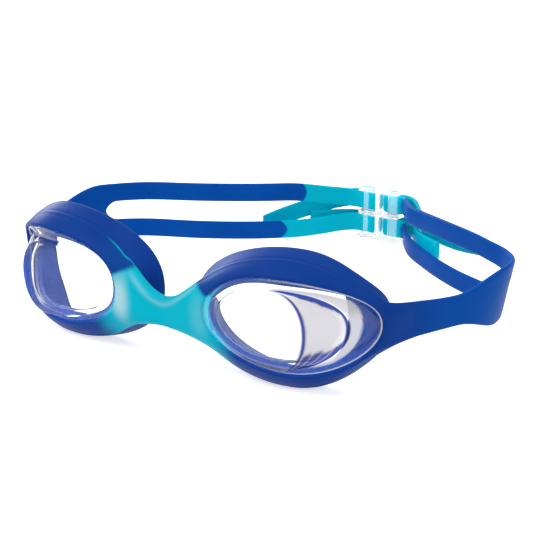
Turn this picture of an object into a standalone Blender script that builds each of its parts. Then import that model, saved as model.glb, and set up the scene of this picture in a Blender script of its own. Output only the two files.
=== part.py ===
"""Swim goggles: two clear lens cups in silicone eyecups, a nose bridge, split straps and a rear buckle.

Metres, +Z up. The lenses look along -Y, and +X is the wearer's left.
The front datum is the middle of the frame, at the height of the lens centres.
"""
import math

import bmesh
import bpy
from mathutils import Matrix, Vector

# Lens flange, measured from the lens centre
LENS_CENTRE_X = 0.0375
LENS_NASAL = 0.0232
LENS_TEMPLE = 0.0209
LENS_TOP = 0.0123
LENS_BOTTOM = 0.0133
LENS_WALL = 0.0015
FLANGE_WIDTH = 0.0022
OUTLINE_POWER = 0.93
LENS_LEAN = -0.046
# How far the flange's temple tip lies behind its centre, and the shares of its first three powers
RIM_SETBACK = 0.0145
RIM_CURVE = (0.27, 0.43, 0.30)

# Flat window of the lens
WINDOW_Y = -0.0043
WINDOW_NASAL = 0.0205
WINDOW_TEMPLE = 0.0080
WINDOW_TOP = 0.0104
WINDOW_BOTTOM = 0.0112
WINDOW_EDGE = 0.0012

# Eyecup: how far its crease and its rear edge stand outside the flange, and how far behind it
CREASE_OUT = {"nasal": 0.0050, "temple": 0.0019, "top": 0.0044, "bottom": 0.0052}
CREASE_BACK = {"nasal": 0.0030, "temple": 0.0035, "top": 0.0045, "bottom": 0.0045}
REAR_OUT = {"nasal": 0.0084, "temple": 0.0022, "top": 0.0060, "bottom": 0.0062}
REAR_BACK = {"nasal": 0.0126, "temple": 0.0096, "top": 0.0116, "bottom": 0.0108}
# A higher power carries that side's size further round the lens
SIDE_POWER = {"nasal": 2, "temple": 6}
LIP_WIDTH = 0.0009
SEAL_LIP = 0.0014
# Eye opening in the face seal
EYE_NASAL = 0.0255
EYE_TEMPLE = 0.0106
EYE_TOP = 0.0140
EYE_BOTTOM = 0.0150
EYE_BACK = {"nasal": 0.0092, "temple": 0.0150, "top": 0.0095, "bottom": 0.0100}
FOOT_FLAT = 0.0004

# Nose bridge
BRIDGE_HALF_HEIGHT = 0.0039
BRIDGE_END_HALF_HEIGHT = 0.0097
BRIDGE_THICKNESS = 0.0034
BRIDGE_DROP = 0.0039
BRIDGE_RISE = 0.0034
BRIDGE_FLARE = 1.5
BRIDGE_REACH = 0.0115
BRIDGE_FRONT_Y = -0.0012
BRIDGE_SPANS = 12
BRIDGE_SIDES = 14

# Straps
ARM_ROOT_TOP = 0.0056
ARM_ROOT_BOTTOM = 0.0072
ARM_NECK_HALF = 0.0041
ARM_NECK_AT = 0.021
FLARE_LENGTH = 0.040
SPLIT_LENGTH = {"left": 0.050, "right": 0.044}
STRAND_WIDTH = 0.0058
STRAND_GAP = 0.0058
STRAND_THICKNESS = 0.0015
END_EDGE = 0.0004
AQUA_LENGTH = {"left": 0.0035, "right": 0.0205}
# How far the strands bow apart, and over what length they are drawn in to the buckle
SPLAY = {"left": 0.0012, "right": 0.0004}
DRAW_IN = {"left": 0.055, "right": 0.024}
# Slope of the band where it wraps the bend, where that is, and over what length it fades
LEAN = {"left": 0.18, "right": 0.0}
LEAN_AT = 0.043
LEAN_RUN = 0.018
MOUTH_RUN = 0.0018
# Tails behind the buckle: their length, droop, sag midway, and how far they stand off the strap
TAIL_LENGTH = {"left_upper": 0.044, "left_lower": 0.025, "right_upper": 0.031, "right_lower": 0.016}
TAIL_DROOP = {"left_upper": 0.0004, "left_lower": -0.0006, "right_upper": 0.0100, "right_lower": 0.0004}
TAIL_SAG = {"left_upper": 0.0018, "left_lower": 0.0, "right_upper": 0.0015, "right_lower": 0.0}
TAIL_SPREAD = {"left_upper": 0.0030, "left_lower": 0.0004, "right_upper": 0.0030, "right_lower": 0.0004}
# Plan routes of the strap's middle, from inside the eyecup to the buckle
ROUTE = {
    "left": [
        (0.0572, 0.0178), (0.0604, 0.0216), (0.0646, 0.0274), (0.0692, 0.0352), (0.0726, 0.0440),
        (0.0739, 0.0520), (0.0728, 0.0586), (0.0686, 0.0642), (0.0603, 0.0694), (0.0510, 0.0742),
        (0.0430, 0.0788), (0.0350, 0.0840), (0.0278, 0.0893), (0.0230, 0.0954),
    ],
    "right": [
        (-0.0572, 0.0178), (-0.0605, 0.0218), (-0.0645, 0.0280), (-0.0670, 0.0355), (-0.0672, 0.0430),
        (-0.0650, 0.0500), (-0.0612, 0.0558), (-0.0563, 0.0610), (-0.0500, 0.0654), (-0.0371, 0.0717),
        (-0.0238, 0.0800), (-0.0130, 0.0886), (-0.0052, 0.0948), (-0.0010, 0.0985),
    ],
}

# Flex line of the arms
HINGE_Y = 0.0270
HINGE_RADIUS = 0.0062

# Rear buckle
BUCKLE_X = 0.0112
BUCKLE_Y = 0.1020
BUCKLE_LENGTH = 0.0134
RAIL = 0.0012
MIDDLE_RAIL = 0.0012
POST_THICKNESS = 0.0011
POST_INSET = 0.0018
CENTRE_POST = 0.0014
FOLD_ROUNDING = 0.00015
FRONT_BAR = 0.0012
FRONT_BAR_AT = -0.0042
FRONT_BAR_DEPTH = 0.0008
END_PLATE = 0.0030
BUCKLE_BEVEL = 0.0003

# Clearances and mesh steps
GAP = 0.0003
MERGE = 0.0001
RING_STEPS = 36
ROUTE_STEP = 0.00125
LONGEST_STEP = 0.011
LARGEST_TURN = math.radians(11)
CURVE_STEPS = 16
BEND_STEPS = 6
TAIL_STEPS = 5
NOSE_STEPS = 12

# Sizes that follow
BAND_HALF = STRAND_WIDTH + STRAND_GAP / 2
STRAND_MIDDLE = (STRAND_WIDTH + STRAND_GAP) / 2
ROW_MIDDLE = MIDDLE_RAIL / 2 + GAP + STRAND_WIDTH / 2
BUCKLE_HALF_HEIGHT = ROW_MIDDLE + STRAND_WIDTH / 2 + GAP + RAIL
LEG_OFFSET = POST_THICKNESS / 2 + GAP + STRAND_THICKNESS / 2
LEG_FACE = LEG_OFFSET + STRAND_THICKNESS / 2
BUCKLE_FRONT = LEG_FACE + GAP + FRONT_BAR_DEPTH
BUCKLE_BACK = LEG_FACE + GAP
FOLD_ROOM = LEG_FACE - FOLD_ROUNDING
POST_LENGTH = BUCKLE_LENGTH / 2 - POST_INSET - FOLD_ROOM - CENTRE_POST / 2
POST_MIDDLE = BUCKLE_LENGTH / 2 - POST_INSET - POST_LENGTH / 2
LEG_Y = BUCKLE_Y - LEG_OFFSET

BLUE = (0.006, 0.055, 0.350)
AQUA = (0.0, 0.420, 0.560)
CLEAR = (0.86, 0.90, 0.93)


def clear_scene():
    """Remove what the scene holds."""
    for item in list(bpy.data.objects):
        bpy.data.objects.remove(item, do_unlink=True)


def collection(name):
    """A new collection in the scene."""
    made = bpy.data.collections.new(name)
    bpy.context.scene.collection.children.link(made)
    return made


def material(name, colour, roughness, alpha=1.0, transmission=0.0):
    """A Principled material."""
    made = bpy.data.materials.new(name)
    made.use_nodes = True
    shader = made.node_tree.nodes["Principled BSDF"]
    shader.inputs["Base Color"].default_value = (*colour, 1.0)
    shader.inputs["Roughness"].default_value = roughness
    shader.inputs["Metallic"].default_value = 0.0
    shader.inputs["Alpha"].default_value = alpha
    shader.inputs["Transmission Weight"].default_value = transmission
    return made


def mesh_object(name, mesh, group, finish=None):
    """Put a mesh into the scene as a named, smooth-shaded object."""
    made = bpy.data.objects.new(name, mesh)
    group.objects.link(made)
    if finish:
        mesh.materials.append(finish)
    mesh.shade_smooth()
    mesh.set_sharp_from_angle(angle=math.radians(40))
    return made


def grid_mesh(name, rows, wrap=False, close=False):
    """Skin rows of points with quads: wrap joins each row's ends, close joins the last row to the first."""
    mesh = bpy.data.meshes.new(name)
    work = bmesh.new()
    verts = [[work.verts.new(point) for point in row] for row in rows]
    pairs = list(zip(verts, verts[1:]))
    if close:
        pairs.append((verts[-1], verts[0]))
    for one, two in pairs:
        count = len(one)
        for i in range(count if wrap else count - 1):
            j = (i + 1) % count
            work.faces.new((one[i], one[j], two[j], two[i]))
    work.to_mesh(mesh)
    work.free()
    return mesh


def fix_normals(mesh, cap=False):
    """Turn the faces outward, after closing the end rings where asked."""
    work = bmesh.new()
    work.from_mesh(mesh)
    if cap:
        bmesh.ops.holes_fill(work, edges=[e for e in work.edges if e.is_boundary])
    bmesh.ops.recalc_face_normals(work, faces=work.faces)
    work.to_mesh(mesh)
    work.free()


def boolean(target, cutter, operation="DIFFERENCE"):
    """Add a Boolean modifier."""
    step = target.modifiers.new(operation.lower(), "BOOLEAN")
    step.operation = operation
    step.object = cutter


def as_cutter(item):
    """Keep an object for cutting only."""
    item.hide_render = True
    item.display_type = "WIRE"


def around(angle, sizes):
    """Blend four sizes around the lens: temple at 0, top at a quarter turn, then nasal and bottom."""
    side = "temple" if math.cos(angle) > 0 else "nasal"
    height = "top" if math.sin(angle) > 0 else "bottom"
    share = abs(math.sin(angle)) ** SIDE_POWER[side]
    return sizes[side] + (sizes[height] - sizes[side]) * share


def rounded(value):
    """A cosine or sine pushed slightly towards a square."""
    return math.copysign(abs(value) ** OUTLINE_POWER, value)


def rim_y(angle):
    """Depth of the flange line at an angle."""
    share = rounded(math.cos(angle))
    if share < 0:
        share *= LENS_NASAL / LENS_TEMPLE
    return RIM_SETBACK * sum(k * share ** (n + 1) for n, k in enumerate(RIM_CURVE))


def oval(angle, nasal, temple, top, bottom):
    """A point of a four-quarter oval about the lens centre."""
    c = rounded(math.cos(angle))
    s = rounded(math.sin(angle))
    return (c * (temple if c > 0 else nasal), s * (top if s > 0 else bottom))


def rim_ring(side, out, back):
    """A ring outside the flange line by out and behind it by back, both functions of the angle."""
    ring = []
    for step in range(RING_STEPS):
        angle = 2 * math.pi * step / RING_STEPS
        dx, z = oval(angle, LENS_NASAL, LENS_TEMPLE, LENS_TOP, LENS_BOTTOM)
        size = math.hypot(dx, z)
        grow = 1 + out(angle) / size
        z *= grow
        y = rim_y(angle) + back(angle) + LENS_LEAN * z
        ring.append(Vector((side * (LENS_CENTRE_X + dx * grow), y, z)))
    return ring


def even(size):
    """The same size all round."""
    return lambda angle: size


def by_side(sizes, extra=0.0):
    """A size blended around the lens, plus an even allowance."""
    return lambda angle: around(angle, sizes) + extra


def eye_ring(side, extra, back):
    """A ring of the eye opening in the face seal."""
    ring = []
    for step in range(RING_STEPS):
        angle = 2 * math.pi * step / RING_STEPS
        dx, z = oval(angle, EYE_NASAL + extra, EYE_TEMPLE + extra, EYE_TOP + extra, EYE_BOTTOM + extra)
        y = around(angle, EYE_BACK) + back
        ring.append(Vector((side * (LENS_CENTRE_X + dx), y + LENS_LEAN * z, z)))
    return ring


def outer_rings(side, grow=0.0):
    """The eyecup's outside: front lip, crease and rear edge."""
    return [
        rim_ring(side, even(GAP + LIP_WIDTH + grow), even(-grow)),
        rim_ring(side, by_side(CREASE_OUT, grow), by_side(CREASE_BACK, -grow)),
        rim_ring(side, by_side(REAR_OUT, grow), by_side(REAR_BACK, grow - SEAL_LIP)),
        rim_ring(side, by_side(REAR_OUT, grow - SEAL_LIP), by_side(REAR_BACK, grow)),
    ]


def seal_ring(side):
    """Middle of the face seal, hollowed between the rear edge and the eye opening."""
    rear = rim_ring(side, by_side(REAR_OUT, -SEAL_LIP), by_side(REAR_BACK))
    eye = eye_ring(side, 0.0, 0.0)
    return [a.lerp(b, 0.5) - Vector((0, SEAL_LIP, 0)) for a, b in zip(rear, eye)]


def eyecup_mesh(name, side):
    """One closed ring of silicone with a rebate for the lens flange."""
    seat_back = LENS_WALL + GAP
    rings = [rim_ring(side, even(GAP), even(0.0))]
    rings += outer_rings(side)
    rings += [
        seal_ring(side),
        eye_ring(side, 0.0, 0.0),
        eye_ring(side, 0.0, -SEAL_LIP),
        rim_ring(side, even(-FLANGE_WIDTH), even(seat_back + SEAL_LIP)),
        rim_ring(side, even(-FLANGE_WIDTH), even(seat_back)),
        rim_ring(side, even(GAP), even(seat_back)),
    ]
    mesh = grid_mesh(name, rings, wrap=True, close=True)
    fix_normals(mesh)
    return mesh


def window_ring(side, inset, back):
    """A ring of the flat window, inset from its edge and set back."""
    ring = []
    for step in range(RING_STEPS):
        angle = 2 * math.pi * step / RING_STEPS
        edge = Vector(oval(angle, WINDOW_NASAL, WINDOW_TEMPLE, WINDOW_TOP, WINDOW_BOTTOM))
        dx, z = edge - edge.normalized() * inset
        ring.append(Vector((side * (LENS_CENTRE_X + dx), WINDOW_Y + back + LENS_LEAN * z, z)))
    return ring


def lens_mesh(name, side):
    """A lens cup: flange, side wall and flat window, with the inside set back by the wall."""
    rings = [
        window_ring(side, WINDOW_EDGE + LENS_WALL, LENS_WALL),
        window_ring(side, LENS_WALL, LENS_WALL + WINDOW_EDGE / 2),
        rim_ring(side, even(-FLANGE_WIDTH - LENS_WALL), even(LENS_WALL)),
        rim_ring(side, even(0.0), even(LENS_WALL)),
        rim_ring(side, even(0.0), even(0.0)),
        rim_ring(side, even(-FLANGE_WIDTH), even(0.0)),
        window_ring(side, 0.0, WINDOW_EDGE / 2),
        window_ring(side, WINDOW_EDGE, 0.0),
    ]
    mesh = grid_mesh(name, rings, wrap=True)
    fix_normals(mesh, cap=True)
    return mesh


def bridge_mesh(name):
    """The bar of the nose bridge: waisted in the middle, and swelling into the eyecups."""
    rows = []
    for i in range(BRIDGE_SPANS + 1):
        share = 2 * i / BRIDGE_SPANS - 1
        swell = abs(share) ** BRIDGE_FLARE
        half = BRIDGE_HALF_HEIGHT + (BRIDGE_END_HALF_HEIGHT - BRIDGE_HALF_HEIGHT) * swell
        z = BRIDGE_RISE * swell - BRIDGE_DROP
        x = share * (BRIDGE_REACH + BRIDGE_THICKNESS / 2)
        row = []
        for j in range(BRIDGE_SIDES):
            angle = 2 * math.pi * j / BRIDGE_SIDES
            y = BRIDGE_FRONT_Y + BRIDGE_THICKNESS / 2 * (1 - math.cos(angle))
            row.append(Vector((x, y, z + half * math.sin(angle))))
        rows.append(row)
    mesh = grid_mesh(name, rows, wrap=True)
    fix_normals(mesh, cap=True)
    return mesh


def nasal_slab(name, reach, group):
    """A slab across the middle of the frame, where the second colour is shot."""
    mesh = bpy.data.meshes.new(name)
    work = bmesh.new()
    wide = 4 * LENS_CENTRE_X
    block(work, (-reach, -wide, -wide), (reach, wide, wide))
    work.to_mesh(mesh)
    work.free()
    made = mesh_object(name, mesh, group)
    as_cutter(made)
    return made


def spline(points, step):
    """Points about a step apart along a smooth curve through the given plan points."""
    line = [Vector((*p, 0.0)) for p in points]
    line = [line[0] * 2 - line[1]] + line + [line[-1] * 2 - line[-2]]
    dense = []
    for a, b, c, d in zip(line, line[1:], line[2:], line[3:]):
        for i in range(CURVE_STEPS):
            t = i / CURVE_STEPS
            dense.append(0.5 * ((2 * b) + (c - a) * t + (2 * a - 5 * b + 4 * c - d) * t * t
                                + (3 * b - a - 3 * c + d) * t ** 3))
    dense.append(line[-2].copy())
    return resample(dense, step)


def lengths(points):
    """Running length along a polyline."""
    total = [0.0]
    for a, b in zip(points, points[1:]):
        total.append(total[-1] + (b - a).length)
    return total


def resample(points, step):
    """The polyline again, with points at an even step from its start, and its last point."""
    total = lengths(points)
    count = max(2, round(total[-1] / step))
    return [point_at(points, total, step * i) for i in range(count)] + [points[-1].copy()]


def point_at(points, total, distance):
    """A point at a running length."""
    for a, b, start, end in zip(points, points[1:], total, total[1:]):
        if distance <= end and start < end:
            return a.lerp(b, (distance - start) / (end - start))
    return points[-1].copy()


def cut_line(points, start, end):
    """The part of a polyline between two running lengths."""
    total = lengths(points)
    inside = [p for p, t in zip(points, total) if start + MERGE < t < end - MERGE]
    return [point_at(points, total, start)] + inside + [point_at(points, total, end)]


def smooth_step(value):
    """Ease from 0 to 1."""
    t = min(1.0, max(0.0, value))
    return t * t * (3 - 2 * t)


def arm_half(distance, root):
    """Half height of the band at a running length from the root: a neck, then a flare to full width."""
    if distance < ARM_NECK_AT:
        return ARM_NECK_HALF + (root - ARM_NECK_HALF) * (1 - distance / ARM_NECK_AT) ** 3
    flare = (distance - ARM_NECK_AT) / (FLARE_LENGTH - ARM_NECK_AT)
    return ARM_NECK_HALF + (BAND_HALF - ARM_NECK_HALF) * smooth_step(flare)


def strand_height(distance, total, name):
    """Middle height of the upper strand: bowed out a little, then drawn in to the buckle's row."""
    draw_in = smooth_step((distance - (total - DRAW_IN[name])) / DRAW_IN[name])
    share = (distance - SPLIT_LENGTH[name]) / (total - SPLIT_LENGTH[name])
    bow = 4 * SPLAY[name] * share * (1 - share)
    return STRAND_MIDDLE + (ROW_MIDDLE - STRAND_MIDDLE) * draw_in + bow


def lean_at(distance, name):
    """Slope of the band at a running length: none, but for the bend."""
    share = min(1.0, abs(distance - LEAN_AT) / LEAN_RUN)
    return LEAN[name] * (1 - share * share) ** 2


def full_route(name, sign):
    """A strap's middle line in plan, up to the buckle's leg plane."""
    mouth = BUCKLE_X + sign * BUCKLE_LENGTH / 2
    return spline(ROUTE[name] + [(mouth + sign * MOUTH_RUN, LEG_Y), (mouth, LEG_Y)], ROUTE_STEP)


def outward_at(points, index, sign):
    """Level direction away from the head at a point of a plan line."""
    along = points[min(index + 1, len(points) - 1)] - points[max(index - 1, 0)]
    return Vector((along.y, -along.x, 0.0)).normalized() * sign


def strap_rows(route, blue_end, name, sign):
    """Band rows along the route: four heights each, and how far along they lie."""
    line = square_ends(thin(cut_line(route, 0.0, blue_end)))
    total = lengths(route)[-1]
    rows = []
    for index, (point, distance) in enumerate(zip(line, lengths(line))):
        if distance < SPLIT_LENGTH[name]:
            top = arm_half(distance, ARM_ROOT_TOP)
            bottom = arm_half(distance, ARM_ROOT_BOTTOM)
            inner = STRAND_GAP / 2 * top / BAND_HALF
            heights = (-bottom, -inner, inner, top)
        else:
            middle = strand_height(distance, total, name)
            heights = (-middle - STRAND_WIDTH / 2, -middle + STRAND_WIDTH / 2,
                       middle - STRAND_WIDTH / 2, middle + STRAND_WIDTH / 2)
        rise = Vector((0, 0, 1)) + outward_at(line, index, sign) * lean_at(distance, name)
        rows.append(([point + rise * h for h in heights], distance))
    return rows


def thin(points):
    """Drop points where the line is nearly straight."""
    kept = [points[0]]
    turn = 0.0
    gone = 0.0
    for a, b, c in zip(points, points[1:], points[2:]):
        one = b - a
        two = c - b
        turn += one.angle(two, 0.0)
        gone += one.length
        if turn > LARGEST_TURN or gone > LONGEST_STEP:
            kept.append(b)
            turn = 0.0
            gone = 0.0
    kept.append(points[-1])
    return kept


def square_ends(points):
    """The line again with a point close to each end, so that rounding leaves the ends square."""
    total = lengths(points)
    first = point_at(points, total, END_EDGE)
    last = point_at(points, total, total[-1] - END_EDGE)
    return [points[0], first] + points[1:-1] + [last, points[-1]]


def strap_mesh(mesh_name, route, blue_end, name, sign):
    """The band as an open sheet: whole over the arm, in two strands after the split."""
    rows = strap_rows(route, blue_end, name, sign)
    mesh = bpy.data.meshes.new(mesh_name)
    work = bmesh.new()
    verts = [[work.verts.new(p) for p in row] for row, _ in rows]
    for one, two, (_, far) in zip(verts, verts[1:], rows[1:]):
        for i in range(3):
            if i != 1 or far < SPLIT_LENGTH[name]:
                work.faces.new((one[i], one[i + 1], two[i + 1], two[i]))
    bmesh.ops.recalc_face_normals(work, faces=work.faces)
    work.to_mesh(mesh)
    work.free()
    return mesh


def solidify(item):
    """Give a sheet the strap's thickness, centred, and round it."""
    shell = item.modifiers.new("thickness", "SOLIDIFY")
    shell.thickness = STRAND_THICKNESS
    shell.offset = 0.0
    shell.use_even_offset = True
    soft = item.modifiers.new("rounding", "SUBSURF")
    soft.levels = 1
    soft.render_levels = 1


def flex_cutter(name, radius, side, group):
    """Everything behind the arm's flex line: a half-round nose that carries a long block."""
    outline = []
    for i in range(NOSE_STEPS + 1):
        angle = math.pi / 2 + math.pi * i / NOSE_STEPS
        outline.append((HINGE_Y + radius * math.cos(angle), radius * math.sin(angle)))
    reach = 2 * BUCKLE_Y
    outline = [(reach, BAND_HALF * 3), (HINGE_Y, BAND_HALF * 3)] + outline
    outline += [(HINGE_Y, -BAND_HALF * 3), (reach, -BAND_HALF * 3)]
    rows = [[Vector((x, y, z)) for y, z in outline] for x in (0.0, side * LENS_CENTRE_X * 4)]
    mesh = grid_mesh(name, rows, wrap=True)
    fix_normals(mesh, cap=True)
    made = mesh_object(name, mesh, group)
    as_cutter(made)
    return made


def end_line(route, sign, blue_end, tail, spread):
    """A strap end in plan: on to the buckle, round its post, and back along the strap's outer side."""
    total = lengths(route)[-1]
    run = thin(cut_line(route, blue_end + GAP, total))
    post = BUCKLE_X + sign * POST_MIDDLE
    turn = []
    for i in range(BEND_STEPS + 1):
        angle = math.pi * i / BEND_STEPS
        turn.append(Vector((post - sign * (POST_LENGTH / 2 + LEG_OFFSET * math.sin(angle)),
                            BUCKLE_Y - LEG_OFFSET * math.cos(angle), 0.0)))
    mouth = BUCKLE_X + sign * BUCKLE_LENGTH / 2
    back = [Vector((mouth, BUCKLE_Y + LEG_OFFSET, 0.0))]
    for i in range(1, TAIL_STEPS + 1):
        gone = tail * i / TAIL_STEPS
        here = point_at(route, lengths(route), total - gone)
        ahead = point_at(route, lengths(route), total - gone - ROUTE_STEP)
        along = (ahead - here).normalized()
        outward = Vector((along.y, -along.x, 0.0)) * -sign
        back.append(here + outward * (2 * LEG_OFFSET + spread * i / TAIL_STEPS))
    return run, turn, back


def end_mesh(mesh_name, route, sign, blue_end, tail, name, row):
    """One strap end as an open sheet of one strand's width."""
    run, turn, back = end_line(route, sign, blue_end, TAIL_LENGTH[tail], TAIL_SPREAD[tail])
    total = lengths(route)[-1]
    heights = [strand_height(blue_end + d, total, name) for d in lengths(run)]
    heights += [ROW_MIDDLE] * len(turn)
    places = [row * h for h in heights]
    for i in range(TAIL_STEPS + 1):
        share = i / TAIL_STEPS
        drop = TAIL_DROOP[tail] * share * share + TAIL_SAG[tail] * 4 * share * (1 - share)
        places.append(row * ROW_MIDDLE - drop)
    line = [point + Vector((0, 0, z)) for point, z in zip(run + turn + back, places)]
    edge = Vector((0, 0, STRAND_WIDTH / 2))
    mesh = grid_mesh(mesh_name, [[point - edge, point + edge] for point in square_ends(line)])
    fix_normals(mesh)
    return mesh


def block(work, low, high):
    """Add a box between two corners."""
    size = Vector(high) - Vector(low)
    middle = (Vector(high) + Vector(low)) / 2
    place = Matrix.Translation(middle) @ Matrix.Diagonal((*size, 1.0))
    bmesh.ops.create_cube(work, size=1.0, matrix=place)


def buckle_object(name, group, cutters, finish):
    """The buckle: rails and posts as boxes joined into one moulding."""
    half = BUCKLE_LENGTH / 2
    top = BUCKLE_HALF_HEIGHT
    rails = [(-top, -top + RAIL), (-MIDDLE_RAIL / 2, MIDDLE_RAIL / 2), (top - RAIL, top)]
    posts = [
        (-CENTRE_POST / 2, CENTRE_POST / 2, -BUCKLE_FRONT, BUCKLE_BACK),
        (FRONT_BAR_AT - FRONT_BAR / 2, FRONT_BAR_AT + FRONT_BAR / 2, -BUCKLE_FRONT, -LEG_FACE - GAP),
        (half - END_PLATE, half, -BUCKLE_FRONT, -LEG_FACE - GAP),
    ]
    for sign in (-1, 1):
        posts.append((sign * POST_MIDDLE - POST_LENGTH / 2, sign * POST_MIDDLE + POST_LENGTH / 2,
                      -POST_THICKNESS / 2, POST_THICKNESS / 2))
    boxes = [((-half, -BUCKLE_FRONT, low), (half, BUCKLE_BACK, high)) for low, high in rails]
    boxes += [((a, c, -top + RAIL / 2), (b, d, top - RAIL / 2)) for a, b, c, d in posts]
    body = None
    for number, (low, high) in enumerate(boxes):
        mesh = bpy.data.meshes.new(name if number == 0 else f"{name}_bar_{number}")
        work = bmesh.new()
        block(work, low, high)
        work.to_mesh(mesh)
        work.free()
        if number == 0:
            body = mesh_object(name, mesh, group, finish)
        else:
            bar = mesh_object(mesh.name, mesh, cutters)
            bar.location = (BUCKLE_X, BUCKLE_Y, 0.0)
            as_cutter(bar)
            boolean(body, bar, "UNION")
    body.location = (BUCKLE_X, BUCKLE_Y, 0.0)
    edge = body.modifiers.new("edges", "BEVEL")
    edge.width = BUCKLE_BEVEL
    edge.segments = 1
    edge.limit_method = "ANGLE"
    return body


def foot_cutter(group, level):
    """A slab that flattens the eyecups where they stand."""
    mesh = bpy.data.meshes.new("floor_cut")
    work = bmesh.new()
    wide = 4 * LENS_CENTRE_X
    block(work, (-wide, -wide, level - wide), (wide, wide, level))
    work.to_mesh(mesh)
    work.free()
    made = mesh_object("floor_cut", mesh, group)
    as_cutter(made)
    return made


def lowest(items):
    """Lowest point of some meshes."""
    return min(v.co.z for item in items for v in item.data.vertices)


def hang(name, place, items, group):
    """An empty that carries some objects, which stay where they are."""
    carrier = bpy.data.objects.new(name, None)
    carrier.location = place
    group.objects.link(carrier)
    for item in items:
        item.parent = carrier
        item.location -= place
    return carrier


def stand(datum, pieces):
    """Move the datum so that the origin is the middle of the base."""
    scene = bpy.context.evaluated_depsgraph_get()
    corners = []
    for piece in pieces:
        seen = piece.evaluated_get(scene)
        corners += [seen.matrix_world @ Vector(corner) for corner in seen.bound_box]
    low = Vector([min(c[i] for c in corners) for i in range(3)])
    high = Vector([max(c[i] for c in corners) for i in range(3)])
    datum.location = (-(low.x + high.x) / 2, -(low.y + high.y) / 2, -low.z)


def build():
    """Make every piece and stand the goggles on the floor."""
    clear_scene()
    parts = collection("swim_goggles")
    cutters = collection("cutters")
    blue = material("blue_silicone", BLUE, 0.45)
    aqua = material("aqua_silicone", AQUA, 0.45)
    clear = material("clear_plastic", CLEAR, 0.05, alpha=0.35, transmission=1.0)
    front = []
    loop = []
    eyecups = []
    nasals = []
    seam = nasal_slab("bridge_seam", BRIDGE_REACH + GAP, cutters)
    for name, side in (("left", 1), ("right", -1)):
        route = full_route(name, side)
        blue_end = lengths(route)[-1] - AQUA_LENGTH[name]
        lens = mesh_object(f"{name}_lens", lens_mesh(f"{name}_lens", side), parts, clear)
        sheet = strap_mesh(f"{name}_strap", route, blue_end, name, side)
        strap = mesh_object(f"{name}_strap", sheet, parts, blue)
        solidify(strap)
        sheet = strap_mesh(f"{name}_arm_root", route, FLARE_LENGTH, name, side)
        root = mesh_object(f"{name}_arm_root", sheet, cutters)
        solidify(root)
        as_cutter(root)
        boolean(strap, flex_cutter(f"{name}_flex_line", HINGE_RADIUS, side, cutters), "INTERSECT")
        eyecup = mesh_object(f"{name}_eyecup", eyecup_mesh(f"{name}_eyecup", side), parts, blue)
        eyecups.append(eyecup)
        boolean(eyecup, seam)
        boolean(eyecup, root, "UNION")
        boolean(eyecup, flex_cutter(f"{name}_flex_clear", HINGE_RADIUS + GAP, side, cutters))
        nasal = mesh_object(f"{name}_nasal", eyecup_mesh(f"{name}_nasal", side), cutters)
        as_cutter(nasal)
        nasals.append(nasal)
        front += [lens, eyecup]
        loop.append(strap)
        for row, row_name in ((1, "upper"), (-1, "lower")):
            tail = f"{name}_{row_name}"
            end_name = f"{tail}_strap_end"
            sheet = end_mesh(end_name, route, side, blue_end, tail, name, row)
            end = mesh_object(end_name, sheet, parts, aqua)
            solidify(end)
            loop.append(end)
    floor = lowest(eyecups) + FOOT_FLAT
    cut = foot_cutter(cutters, floor)
    for eyecup in eyecups:
        boolean(eyecup, cut)
    bridge = mesh_object("nose_bridge", bridge_mesh("nose_bridge"), parts, aqua)
    for nasal in nasals:
        boolean(bridge, nasal, "UNION")
    boolean(bridge, nasal_slab("bridge_ends", BRIDGE_REACH, cutters), "INTERSECT")
    front.append(bridge)
    loop.append(buckle_object("buckle", parts, cutters, clear))
    datum = hang("front_datum", Vector(), front + list(cutters.objects), parts)
    flex = hang("strap_flex", Vector((0.0, HINGE_Y, 0.0)), loop, parts)
    flex.parent = datum
    stand(datum, front + loop)


build()
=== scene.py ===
"""Swim goggles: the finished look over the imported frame. Sizes are in metres, from the front datum."""
import math

import bmesh
import bpy
import numpy as np
from mathutils import Matrix, Vector


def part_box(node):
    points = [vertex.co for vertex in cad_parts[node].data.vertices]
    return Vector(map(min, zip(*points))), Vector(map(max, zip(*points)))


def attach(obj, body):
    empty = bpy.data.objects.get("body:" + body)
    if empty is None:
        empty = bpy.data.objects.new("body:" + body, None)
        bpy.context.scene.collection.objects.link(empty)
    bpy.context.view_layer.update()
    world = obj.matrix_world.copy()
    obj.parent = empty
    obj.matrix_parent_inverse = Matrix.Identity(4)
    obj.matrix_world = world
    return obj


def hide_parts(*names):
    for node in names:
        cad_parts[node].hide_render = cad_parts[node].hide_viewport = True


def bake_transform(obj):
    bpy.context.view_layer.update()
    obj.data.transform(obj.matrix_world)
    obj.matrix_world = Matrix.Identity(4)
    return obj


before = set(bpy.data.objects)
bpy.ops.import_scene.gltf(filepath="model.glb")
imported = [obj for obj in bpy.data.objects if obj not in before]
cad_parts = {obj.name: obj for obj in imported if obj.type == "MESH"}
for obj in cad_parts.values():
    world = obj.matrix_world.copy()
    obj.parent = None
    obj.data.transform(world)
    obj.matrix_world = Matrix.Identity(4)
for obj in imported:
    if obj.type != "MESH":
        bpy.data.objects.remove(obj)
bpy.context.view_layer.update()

# Lens and eyecup, as in the part's source
LENS_CENTRE_X = 0.0375
LENS_NASAL = 0.0232
LENS_TEMPLE = 0.0209
LENS_TOP = 0.0123
LENS_BOTTOM = 0.0133
LENS_WALL = 0.0015
FLANGE_WIDTH = 0.0022
OUTLINE_POWER = 0.93
LENS_LEAN = -0.046
RIM_SETBACK = 0.0145
RIM_CURVE = (0.27, 0.43, 0.30)
WINDOW_Y = -0.0043
WINDOW_NASAL = 0.0205
WINDOW_TEMPLE = 0.0080
WINDOW_TOP = 0.0104
WINDOW_BOTTOM = 0.0112
WINDOW_EDGE = 0.0012
CREASE_OUT = {"nasal": 0.0050, "temple": 0.0019, "top": 0.0044, "bottom": 0.0052}
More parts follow.
